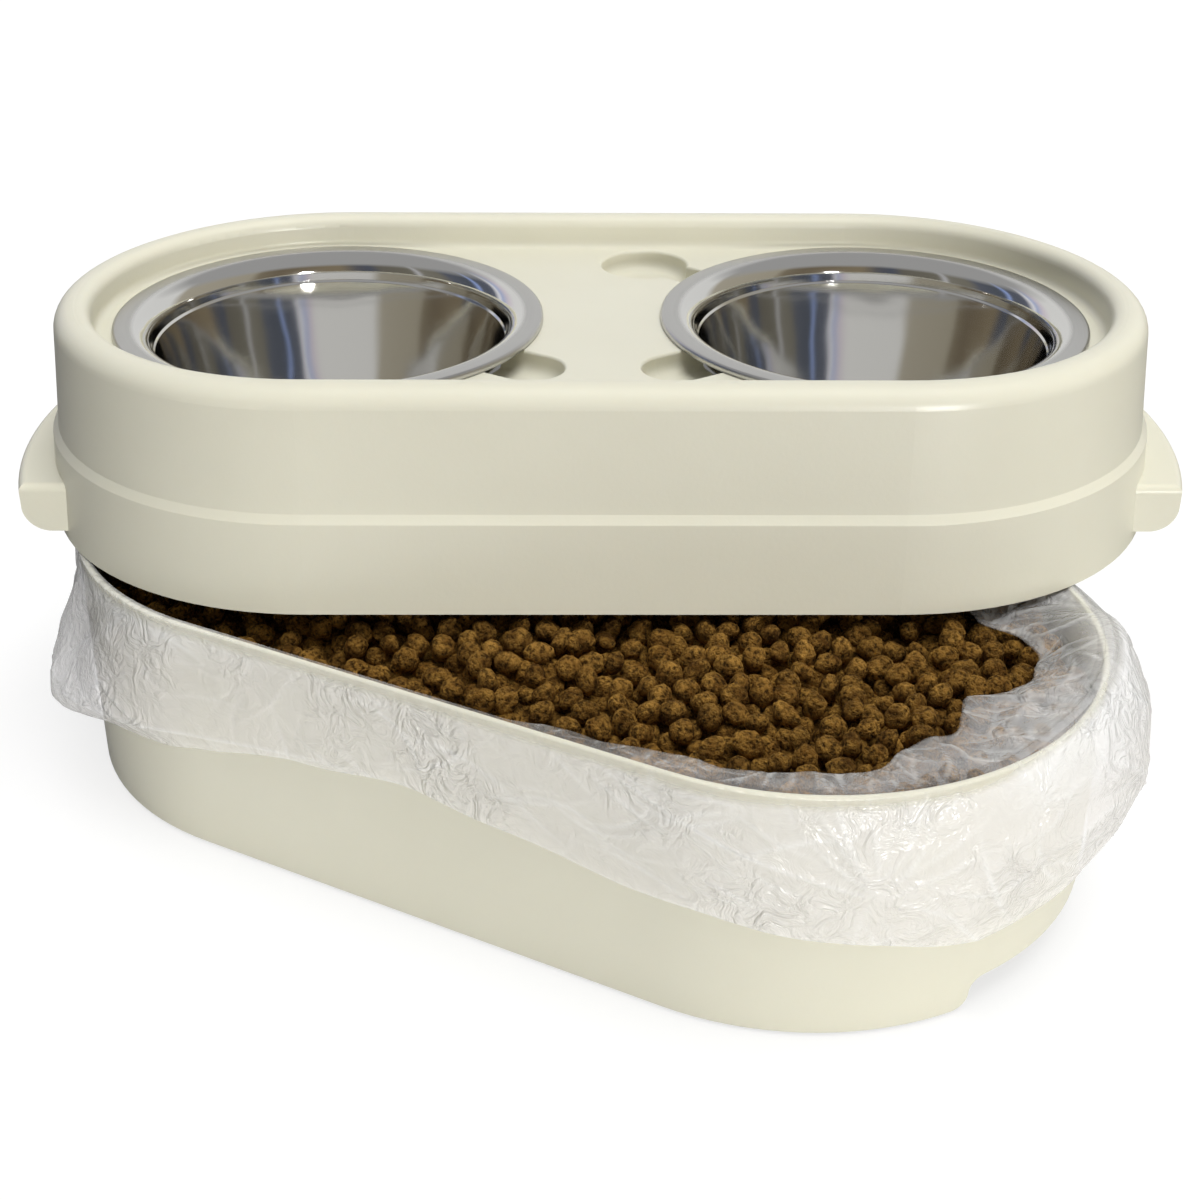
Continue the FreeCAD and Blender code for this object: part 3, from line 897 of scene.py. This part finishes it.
floor_mesh = bpy.data.meshes.new("floor")
floor_corners = [(x * floor_reach, y * floor_reach, 0) for x, y in ((-1, -1), (1, -1), (1, 1), (-1, 1))]
floor_mesh.from_pydata(floor_corners, [], [(0, 1, 2, 3)])
floor = shown("floor", floor_mesh)
floor_finish, tree, shader = new_material("pale_floor")
ray = add(tree, "ShaderNodeLightPath")
place = add(tree, "ShaderNodeTexCoord")
reach = add(tree, "ShaderNodeVectorMath", operation="DISTANCE")
join(tree, place.outputs["Object"], reach.inputs[0])
reach.inputs[1].default_value = board_centre
board = colour_mix(tree, spread(tree, reach.outputs["Value"], board_edge), board_white, room_floor)
join(tree, colour_mix(tree, ray.outputs["Is Camera Ray"], board, floor_white), shader.inputs["Base Color"])
shader.inputs["Roughness"].default_value = floor_roughness
shader.inputs["Emission Color"].default_value = (1, 1, 1, 1)
glow = math_node(tree, "MULTIPLY", ray.outputs["Is Camera Ray"], floor_glow)
join(tree, glow, shader.inputs["Emission Strength"])
cover(floor, floor_finish)

for name, heading, height, strength, width, in_mirrors in lamps:
    light = bpy.data.lights.new(name, "SUN")
    light.energy = strength
    light.angle = math.radians(width)
    light.color = lamp_colour
    lamp = bpy.data.objects.new(name, light)
    lamp.visible_glossy = in_mirrors
    bpy.context.scene.collection.objects.link(lamp)
    turned = Matrix.Rotation(math.radians(heading), 3, "Z") @ Matrix.Rotation(-math.radians(height), 3, "Y")
    lamp.rotation_euler = (turned @ Vector((-1, 0, 0))).to_track_quat("-Z", "Y").to_euler()

world = bpy.data.worlds.new("soft_room")
bpy.context.scene.world = world
world.use_nodes = True
tree = world.node_tree
back = tree.nodes["Background"]
place = add(tree, "ShaderNodeTexCoord")
part = add(tree, "ShaderNodeSeparateXYZ")
join(tree, place.outputs["Generated"], part.inputs["Vector"])
azimuth = math_node(tree, "ARCTAN2", part.outputs["Y"], part.outputs["X"])
round_the_room = spread(tree, azimuth, (-math.pi, math.pi))


def wall_colours(tree, stops):
    """Colours round the room from a list of places and colours."""
    ramp = add(tree, "ShaderNodeValToRGB")
    join(tree, round_the_room, ramp.inputs["Fac"])
    elements = ramp.color_ramp.elements
    for element, (position, colour) in zip(elements, (stops[0], stops[-1])):
        element.position = position
        element.color = (*colour, 1)
    for position, colour in stops[1:-1]:
        elements.new(position).color = (*colour, 1)
    return ramp.outputs["Color"]


walls = wall_colours(tree, room_walls)
overhead = spread(tree, part.outputs["Z"], ceiling_start)
lit_room = colour_mix(tree, overhead, walls, ceiling_white)
mirrored_overhead = spread(tree, part.outputs["Z"], mirrored_ceiling_start)
mirrored_room = colour_mix(tree, mirrored_overhead, walls, mirrored_ceiling)
ray = add(tree, "ShaderNodeLightPath")
first_mirror = math_node(tree, "LESS_THAN", ray.outputs["Ray Depth"], past_first_mirror)
mirrored = math_node(tree, "MULTIPLY", ray.outputs["Is Glossy Ray"], first_mirror)
room = colour_mix(tree, mirrored, lit_room, mirrored_room)
join(tree, colour_mix(tree, ray.outputs["Is Camera Ray"], room, backdrop_white), back.inputs["Color"])

left_low, left_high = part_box("left_bowl")
right_low, right_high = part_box("right_bowl")
tray_middle = (left_low + left_high + right_low + right_high) / 4
tray_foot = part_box("bowl_tray")[0].z
target = Vector((tray_middle.x, tray_middle.y, tray_foot - target_below_tray))
aim = (
    Matrix.Rotation(camera_heading, 3, "Z")
    @ Matrix.Rotation(math.pi / 2 - camera_tilt, 3, "X")
    @ Matrix.Rotation(camera_roll, 3, "Z")
)
lens = bpy.data.cameras.new("camera")
lens.lens = camera_lens
lens.sensor_width = camera_sensor
camera = bpy.data.objects.new("camera", lens)
bpy.context.scene.collection.objects.link(camera)
camera.matrix_world = Matrix.Translation(target + aim @ Vector((0, 0, camera_distance))) @ aim.to_4x4()
bpy.context.scene.camera = camera
bpy.context.scene.view_settings.view_transform = "Standard"
